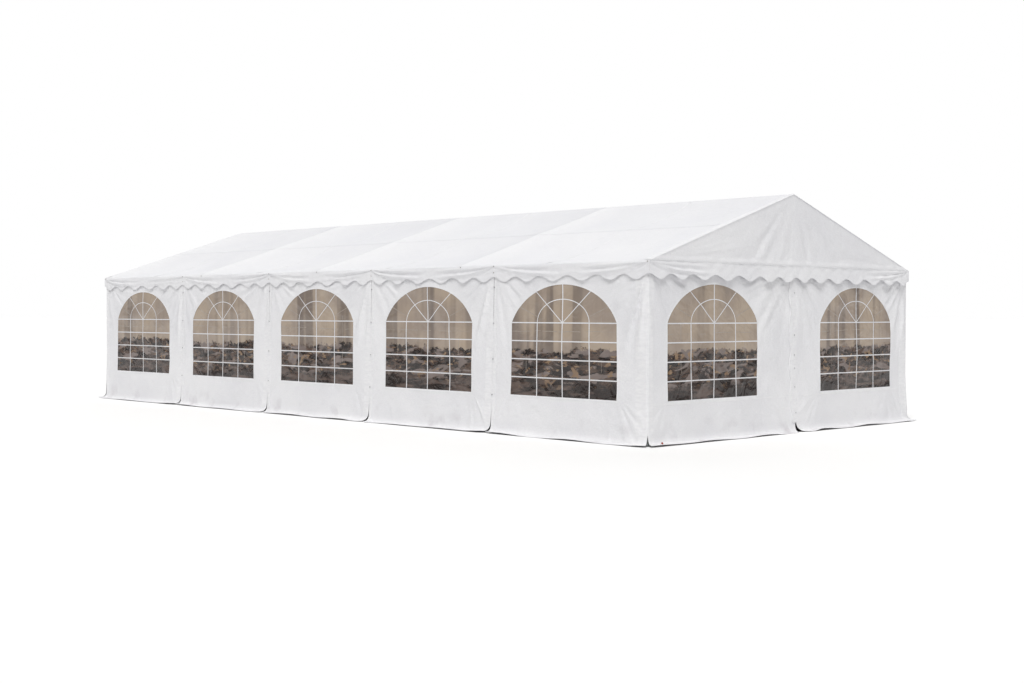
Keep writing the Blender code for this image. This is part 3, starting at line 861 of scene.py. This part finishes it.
# The roof's grey and pale are painted shade and painted light by the rafter creases and the rail.
ROOF_WHITE, ROOF_SHADE, ROOF_PAINTED_SHADE, ROOF_PAINTED_LIGHT = "#E9E9EB", "#E1E1E5", "#D0D0D4", "#E9E9EB"
PAINTED_SHADE_SHARE = 0.40       # most that the painted shade beside a rafter covers the white
RAIL_SHADE_LINE = 0.004       # half the height of the painted shade line on the weld over the rail
END_STRIP, END_STRIP_RISE, END_STRIP_EDGE = 0.085, 0.004, 0.0008
END_STRIP_THICKNESS = 0.0006
END_STRIP_ROWS, END_STRIP_COLUMNS = 60, 14
ROOF_WELD = 0.030
BAY_WELD_RISE, RAIL_WELD_RISE = 0.0020, 0.0010
SLOPE_SEED = 50
roof_low, roof_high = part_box("front_roof")
rafters = np.array([sum(point.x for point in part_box(f"frame_{k}")) / 2 for k in range(1, 6)])
pitch = math.atan2(roof_high.z - EAVE_HEIGHT, -roof_low.y)
slope_length = math.hypot(roof_high.z - EAVE_HEIGHT, roof_low.y)
round_start = slope_length - EAVE_ROUND * math.tan(math.pi / 4 - pitch / 2)
round_end = round_start + EAVE_ROUND * (math.pi / 2 - pitch)


def roof_material():
    """The walls' PVC: painted shade beside each rafter, above the rail and on its weld; painted light past
    each rafter.
    """
    material = pvc_material("pvc_coated_polyester_roof", ROOF_WHITE, ROOF_SHADE, 0.45)
    tree = material.node_tree
    colour = tree.nodes["Principled BSDF"].inputs["Base Color"]
    place = add_node(tree, "SeparateXYZ", {0: add_node(tree, "TexCoord").outputs["Object"]})
    parts = {"x": place.outputs["X"], "z": place.outputs["Z"]}
    bay = float(rafters[3] - rafters[2])
    rail_height = roof_high.z - RAIL_SHARE * (roof_high.z - EAVE_HEIGHT)
    whole = add_node(tree, "Math", {0: parts["x"], 1: 1 / bay}, operation="MULTIPLY").outputs[0]
    parts["share"] = add_node(tree, "Math", {0: whole}, operation="FRACT").outputs[0]
    # Painted shade by each crease and above the rail; painted light on the crease's other side.
    for name, value, start, end, most in (
            ("on slope", "z", EAVE_HEIGHT, EAVE_HEIGHT + 0.02, 1.0),
            ("inner bays", "x", 1.2 * bay, 1.1 * bay, 1.0),
            ("wide painted shade", "share", 0.50, 1.0, 0.5),
            ("narrow painted shade", "share", 0.88, 1.0, 0.5),
            ("lit side", "share", 0.30, 0.0, 0.7),
            ("upper", "z", rail_height - 0.012, rail_height + 0.004, PAINTED_SHADE_SHARE / 3)):
        ramp = {0: parts[value], 1: start, 2: end, 4: most}
        parts[name] = add_node(tree, "MapRange", ramp).outputs[0]
    for name, operation, *values in (
            ("inner", "MULTIPLY", "on slope", "inner bays"),
            ("rafter shade", "ADD", "wide painted shade", "narrow painted shade"),
            ("rafter shade", "MULTIPLY", "rafter shade", "inner"),
            ("line", "COMPARE", "z", rail_height, RAIL_SHADE_LINE),
            ("upper", "MULTIPLY_ADD", "line", PAINTED_SHADE_SHARE, "upper"),
            ("grey", "MULTIPLY_ADD", "rafter shade", PAINTED_SHADE_SHARE, "upper"),
            ("pale", "MULTIPLY", "lit side", "inner")):
        inputs = {k: parts.get(value, value) for k, value in enumerate(values)}
        parts[name] = add_node(tree, "Math", inputs, operation=operation).outputs[0]
    mixed = colour.links[0].from_socket
    for share, shade in (("grey", ROOF_PAINTED_SHADE), ("pale", ROOF_PAINTED_LIGHT)):
        layer = {0: parts[share], 6: mixed, 7: linear(shade)}
        mixed = add_node(tree, "Mix", layer, data_type="RGBA").outputs[2]
    tree.links.new(mixed, colour)
    return material


def lobes(place, seams, count):
    """Height of a valance's edge: round lobes, those beside a seam a little narrower."""
    stretch = np.clip(np.searchsorted(seams, place, side="right") - 1, 0, len(seams) - 2)
    t = (place - seams[stretch]) / (seams[stretch + 1] - seams[stretch])
    t = t + LOBE_SQUEEZE * np.sin(2 * math.pi * t)
    return CREST_HEIGHT - SCALLOP_DEPTH * (1 - np.cos(2 * math.pi * count * t)) / 2


def valance_swell(a, depth, seams, flare, drape, seed):
    """How far a valance stands out: it flares to its edge, and swags hang between its seams."""
    nearest = np.abs(a[..., None] - seams).min(-1)
    hold = HOLD_SHARE + (1 - HOLD_SHARE) * smooth_step(nearest / VALANCE_HOLD)
    flare = flare * (depth / VALANCE_DEPTH) ** 1.4 * hold
    flare = flare * (1 + slow_waves(a, depth * 0.3, seed, 0.5, 0.5))
    fine = slow_waves(a * 0.5, depth, seed + 3, 0.08, 0.0035)
    flare = flare + drape * smooth_step(depth / 0.04) * fine
    dice = random.Random(seed)
    folds = np.zeros_like(a)
    for k in range(len(seams)):
        for side in (-1, 1):
            for low, run, height in SWAGS:
                low, run = low * dice.uniform(0.85, 1.15), run * dice.uniform(0.7, 1.4)
                gap = np.clip(side * (a - seams[k]), 0, None)
                across = depth - low * (1 - np.exp(-gap / run)) - SWAG_FALL * np.clip(gap, 0, 1.2)
                width = SWAG_WIDTHS[0] + SWAG_WIDTHS[1] * np.clip(gap / 0.5, 0, 1)
                fade = smooth_step(gap / 0.03) * smooth_step((SWAG_REACH - gap) / 0.6)
                folds = folds + height * dice.uniform(0.5, 1.2) * fade * np.exp(-(across / width) ** 2)
    return flare + drape * np.where(folds < 0, 0.5 * folds, folds) * smooth_step(depth / 0.015)


class RoofSlope:
    """Surface of one slope and its valance.

    Seen from outside, a runs right, and way falls from 0 at the ridge.
    """

    def __init__(self, side, seams, seed):
        self.side, self.seams, self.seed = side, seams, seed

    def place(self, a, way, lift=0.0):
        a, way = np.broadcast_arrays(np.asarray(a, float), np.asarray(way, float))
        v = -way
        run = np.clip(v, 0, round_start)
        angle = pitch + np.clip((v - round_start) / EAVE_ROUND, 0, math.pi / 2 - pitch)
        y = run * math.cos(pitch) + EAVE_ROUND * (np.sin(angle) - math.sin(pitch))
        z = roof_high.z - run * math.sin(pitch) + EAVE_ROUND * (np.cos(angle) - math.cos(pitch))
        z = z - np.clip(v - round_end, 0, None)
        gap = np.abs(a[..., None] - rafters).min(-1)
        crease = 1 - np.exp(-(np.hypot(gap, CREASE_BLUNT) - CREASE_BLUNT) / CREASE_WIDTH)
        t = np.clip((a - rafters[0]) / (rafters[1] - rafters[0]), 0, 4) % 1
        between = 1 - (2 * t - 1) ** 4
        rail = np.clip(v / (RAIL_SHARE * slope_length), 0, 2) % 1
        span = 4 * rail * (1 - rail)
        on_roof = smooth_step((round_end - v) / EAVE_FADE)
        ridge = smooth_step(v / RIDGE_HOLD)
        inside = smooth_step((roof_high.x - np.abs(a)) / END_HOLD)
        out = CREASE_RISE * ridge - CREASE_DEPTH * crease * (1 + SPAN_DEEPER * span * inside) * ridge
        out = on_roof * (out - SPAN_SAG * between * span - RAFTER_SAG * span * inside)
        out = out + inside * span * slow_waves(a, v, self.seed, *ROOF_SLACK)
        depth = np.clip(v - slope_length, 0, None)
        out = out + inside * valance_swell(a, depth, self.seams, EAVE_FLARE, EAVE_DRAPE, self.seed)
        roll = np.clip(np.abs(a) - (roof_high.x - END_ROLL), 0, END_ROLL)
        out = out - (END_ROLL - np.sqrt(END_ROLL ** 2 - roll ** 2)) * on_roof + lift
        y = y + out * np.sin(angle) * smooth_step(v / RIDGE_ROUND)
        return np.stack([-self.side * a, self.side * y, z + out * np.cos(angle)], axis=-1)


def roof_columns(seams, count, ends, extra):
    """Stations along a valance: even steps along each lobe, and extra ones between them."""
    steps = count * LOBE_STEPS + 1
    inner = np.concatenate([np.linspace(*pair, steps) for pair in zip(seams, seams[1:])])
    return np.unique(np.concatenate([np.clip(inner, *ends), extra, ends]).round(5))


def slope_stations(seams):
    """Stations of a slope: those of its valance, more by the rafters, and round its rolled ends."""
    near_rafters = (rafters[:, None] + [-0.05, -0.025, -0.01, 0, 0.01, 0.025, 0.05]).ravel()
    near_rafters = near_rafters[np.abs(near_rafters) < roof_high.x - END_ROLL]
    end_roll = roof_high.x - END_ROLL * (1 - np.sin(np.linspace(0, math.pi / 2, 5)))
    extra = np.concatenate([near_rafters, end_roll, -end_roll])
    return roof_columns(seams, SIDE_LOBES, (roof_low.x, roof_high.x), extra)


def roof_sheet(slope, stations):
    edge = lobes(stations, slope.seams, SIDE_LOBES)
    by_rail = RAIL_SHARE * slope_length + ROOF_WELD * np.array([-1.5, -0.5, 0, 0.5, 1.5])
    over = np.concatenate([np.sort([*np.linspace(0.0005, round_start, SLOPE_ROWS), *by_rail]),
                           np.linspace(round_start, round_end, ROUND_ROWS)[1:]])
    drop = EAVE_HEIGHT - edge + slope_length - round_end
    hanging = np.linspace(0, 1, VALANCE_ROWS)[1:, None] * drop[None]
    v = np.concatenate([np.broadcast_to(over[:, None], (len(over), len(stations))), round_end + hanging])
    way = -v[::-1]
    return sheet_part(slope.place(np.broadcast_to(stations, way.shape), way), PVC_THICKNESS)


def end_strip(slope, side):
    """Doubled edge of the cover along a gable, slightly bulged."""
    shape = (END_STRIP_ROWS, END_STRIP_COLUMNS)
    a = side * np.linspace(roof_high.x - END_STRIP, roof_high.x, END_STRIP_COLUMNS)[::side]
    bulge = np.sqrt(1 - np.linspace(-1, 0.6, END_STRIP_COLUMNS)[::side] ** 2)
    way = -np.linspace(round_start, 0.001, END_STRIP_ROWS)[:, None]
    grid = np.broadcast_to(a, shape), np.broadcast_to(way, shape)
    return sheet_part(slope.place(*grid, END_STRIP_RISE * bulge + END_STRIP_EDGE), END_STRIP_THICKNESS)


def roof_welds(slope, stations):
    """Doubled ends, a weld down the middle of each bay, and one along the rail."""
    parts = [(*end_strip(slope, end), pvc_hem) for end in (-1, 1)]
    for middle in (rafters[:-1] + rafters[1:]) / 2:
        line = upright(middle, -round_start, -0.02)
        parts.append((*strip_part(slope.place, line, ROOF_WELD, BAY_WELD_RISE, 0.0018), pvc_hem))
    inner = stations[np.abs(stations) < roof_high.x - END_STRIP]
    line = [(a, -RAIL_SHARE * slope_length) for a in inner]
    # The rail's weld takes the roof's material, so its painted shade line too.
    parts.append((*strip_part(slope.place, line, ROOF_WELD, RAIL_WELD_RISE, 0.0006, 3), pvc_roof))
    return parts


pvc_roof = roof_material()
for side, wall in ((-1, walls[0]), (1, walls[2])):
    name = wall["name"]
    inner = [joint.place - wall["length"] / 2 for joint in wall["joints"][1:-1]]
    seams = np.array([roof_low.x, *inner, roof_high.x])
    slope = wall["valance"] = RoofSlope(side, seams, SLOPE_SEED + side)
    stations = slope_stations(seams)
    cover = make_piece(f"{name}_roof_cover", [(*roof_sheet(slope, stations), pvc_roof)])
    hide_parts(f"{name}_roof")
    make_piece(f"{name}_roof_welds", roof_welds(slope, stations))


# Gables
# Each gable is one PVC triangle with its own scalloped valance, drawn up to the end rafters.
# Soft folds run from the peak and the eaves; a double band lies along the gable bar.
BAND_LOW, BAND_HIGH = EAVE_HEIGHT, 2.112
BAND_RISE = 0.0080
BAND_PUCKER = (0.20, 0.8)
GABLE_FLARE, GABLE_DRAPE = 0.022, 1.6
GABLE_SLACK = (0.8, 0.008)
GABLE_SET_BACK, GABLE_DROP = 0.004, 0.004       # behind the end of the cover, and below it
GABLE_SIDE_GAP = 0.002
GABLE_ROWS, BAND_ROWS = 46, 9
PEAK_FAN, END_FAN = (17, 2.4, 0.17), (44, 2.2, 0.26)
FAN_OUTSIDE = 0.05      # the fans start this far beyond the sheet's corners
EDGE_HOLD = 0.08
BAND_FADE, SLANT_FADE = 0.10, 0.36      # distances in which the folds grow above the band, below the edge
GABLE_SEED = 80


class GableSheet:
    """Surface of the right (side 1) or left (side -1) gable: a runs right, seen from outside."""

    def __init__(self, side, seams, seed):
        self.side, self.seams, self.seed = side, seams, seed

    def place(self, a, z, lift=0.0):
        a, z = np.broadcast_arrays(np.asarray(a, float), np.asarray(z, float))
        top = roof_high.z - np.abs(a) * math.tan(pitch)
        half = self.seams[-1]
        edge = smooth_step((half - np.abs(a)) / EDGE_HOLD)
        upper = smooth_step((z - BAND_LOW - 0.02) / BAND_FADE) * smooth_step((top - z) / SLANT_FADE)
        folds = fan_folds(a, roof_high.z + FAN_OUTSIDE - z, *PEAK_FAN, self.seed)
        for end in (-1, 1):
            gap = half + FAN_OUTSIDE - end * a
            folds = folds + fan_folds(gap, z - EAVE_HEIGHT, *END_FAN, self.seed + end)
        out = edge * upper * (folds + slow_waves(a, z, self.seed, *GABLE_SLACK))
        share = np.clip((z - BAND_LOW) / (BAND_HIGH - BAND_LOW), 0, 1)
        pucker = 1 + slow_waves(a, z, self.seed + 9, *BAND_PUCKER)
        out = out + edge * BAND_RISE * pucker * np.sin(math.pi * (1 - (1 - share) ** 1.8)) ** 0.6
        depth = np.clip(EAVE_HEIGHT - z, 0, None)
        outer_seams = self.seams[[0, -1]]
        out = out + edge * valance_swell(a, depth, outer_seams, GABLE_FLARE, GABLE_DRAPE, self.seed)
        x = self.side * (roof_high.x - GABLE_SET_BACK + out + lift)
        return np.stack([x, self.side * a, z], axis=-1)


def gable_sheet(gable, stations):
    """The triangle in three stretches of rows: the valance, the band, and up to the slanting edges."""
    low = lobes(stations, gable.seams, END_LOBES)
    top = roof_high.z - np.abs(stations) * math.tan(pitch) - GABLE_DROP
    band_low, band_high = np.minimum(BAND_LOW, top - 4e-4), np.minimum(BAND_HIGH, top - 2e-4)
    rows = [low + (band_low - low) * s for s in np.linspace(0, 1, VALANCE_ROWS)[:-1]]
    rows += [band_low + (band_high - band_low) * s for s in np.linspace(0, 1, BAND_ROWS)[:-1]]
    rows += [band_high + (top - band_high) * s for s in np.linspace(0, 1, GABLE_ROWS)]
    z = np.array(rows)
    return sheet_part(gable.place(np.broadcast_to(stations, z.shape), z), PVC_THICKNESS)


for side, wall, end_frame in ((1, walls[1], "frame_5"), (-1, walls[3], "frame_1")):
    name = wall["name"]
    half = -roof_low.y - PVC_THICKNESS - GABLE_SIDE_GAP
    seams = np.array([-half, wall["joints"][1].place - wall["length"] / 2, half])
    gable = wall["valance"] = GableSheet(side, seams, GABLE_SEED + side)
    stations = roof_columns(seams, END_LOBES, (-half, half), [0.0])
    piece = make_piece(f"{name}_gable_sheet", [(*gable_sheet(gable, stations), pvc)])
    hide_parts(f"{name}_gable")


# Seams of the valances
# Each valance is sewn together where the panels below it meet, with a narrow tape over the seam.
# The long sides have plated eyelets at its eave and half depth, and one at the eave by each rafter.
SEAM_TAPE = 0.016
SEAM_RISE = 0.0016
SEAM_INSETS = (0.010, 0.002)        # the tape stops short of the eave and of the valance's edge
SEAM_ROWS = 30
SEAM_EYES = (0.008, 0.085)
END_EYE = 0.025
EYELET_RADIUS, EYELET_WIRE, EYELET_LIFT = 0.0060, 0.0020, 0.001


def eyelet_part(place, a, b, lift):
    centre, right, up, _ = surface_frame(place, a, b, lift)
    turn = np.linspace(0, 2 * math.pi, 20, endpoint=False)[:, None]
    path = centre + EYELET_RADIUS * (np.cos(turn) * right + np.sin(turn) * up)
    return rod_part(path, EYELET_WIRE, closed=True)


def long_way(depth):
    """Way down a long slope to a depth below the eave."""
    return -(slope_length + depth)


def gable_way(depth):
    """Height on a gable at a depth below the eave."""
    return EAVE_HEIGHT - depth


# Stamped brass with a dulled nickel skin: a small soft-edged glint, clouded every 6 mm.
nickel = small_material("nickel_plated_brass", "#B5B2AB", "#8E8A82", 180.0, Metallic=1.0, Roughness=0.38)
for wall in walls:
    surface = wall["valance"]
    long_side = wall["name"] in ("front", "back")
    way = long_way if long_side else gable_way
    seams = surface.seams[1:-1]
    parts = []
    for seam in seams:
        ends = way(EAVE_HEIGHT - CREST_HEIGHT - SEAM_INSETS[1]), way(SEAM_INSETS[0])
        line = upright(seam, *ends, SEAM_ROWS)
        strip = strip_part(surface.place, line, SEAM_TAPE, SEAM_RISE, SEAM_RISE - WELD_SPACE)
        parts.append((*strip, pvc_hem))
    if long_side:
        ends = surface.seams[0] + END_EYE, surface.seams[-1] - END_EYE
        eyes = [(seam, depth) for seam in seams for depth in SEAM_EYES]
        eyes += [(x, SEAM_EYES[0]) for x in (*rafters[1:-1], *ends)]
        parts += [(*eyelet_part(surface.place, a, way(depth), SEAM_RISE + EYELET_LIFT), nickel)
                  for a, depth in eyes]
    make_piece(f"{wall['name']}_valance_seams", parts)


# Steel frames
# Posts, rafters and rails are round galvanised steel tube, joined in plain sleeves. They keep the
# shape of their solids and get a mottled grey zinc skin.
ZINC, ZINC_PALE, ZINC_DARK = "#9DA0A2", "#B4B7B9", "#85888A"
SPANGLES = 120.0        # zinc crystals to the metre, some 8 mm across
ZINC_CLOUDS = 9.0       # to the metre


def steel_material():
    """Hot-dip zinc: its crystals show as a faint spangle, its clouds as dull and shiny patches."""
    material, tree, shader = start_material("galvanised_steel_tube", ZINC, Metallic=0.9, Roughness=0.45)
    place = add_node(tree, "TexCoord").outputs["Object"]
    spangle = add_node(tree, "TexVoronoi", {"Vector": place, "Scale": SPANGLES}).outputs["Color"]
    clouds = {"Vector": place, "Scale": ZINC_CLOUDS, "Detail": 4.0}
    clouds = add_node(tree, "TexNoise", clouds).outputs["Fac"]
    tint = {0: clouds, 6: linear(ZINC_PALE), 7: linear(ZINC_DARK)}
    tint = add_node(tree, "Mix", tint, data_type="RGBA").outputs[2]
    grain = add_node(tree, "Mix", {0: 0.25, 6: tint, 7: spangle}, data_type="RGBA", blend_type="SOFT_LIGHT")
    rough = add_node(tree, "MapRange", {0: clouds, 3: 0.32, 4: 0.58})
    bump = add_node(tree, "Bump", {"Height": clouds, "Strength": 0.2, "Distance": 0.002})
    tree.links.new(grain.outputs[2], shader.inputs["Base Color"])
    tree.links.new(rough.outputs[0], shader.inputs["Roughness"])
    tree.links.new(bump.outputs[0], shader.inputs["Normal"])
    return material


steel = steel_material()
tubes = [f"frame_{k}" for k in range(1, 6)] + ["ridge_rail", "left_gable_bar", "right_gable_bar"]
tubes += [f"{side}_{rail}_rail" for side in ("front", "back") for rail in ("eave", "slope")]
for name in tubes:
    for slot in bpy.data.objects[name].material_slots:
        slot.material = steel
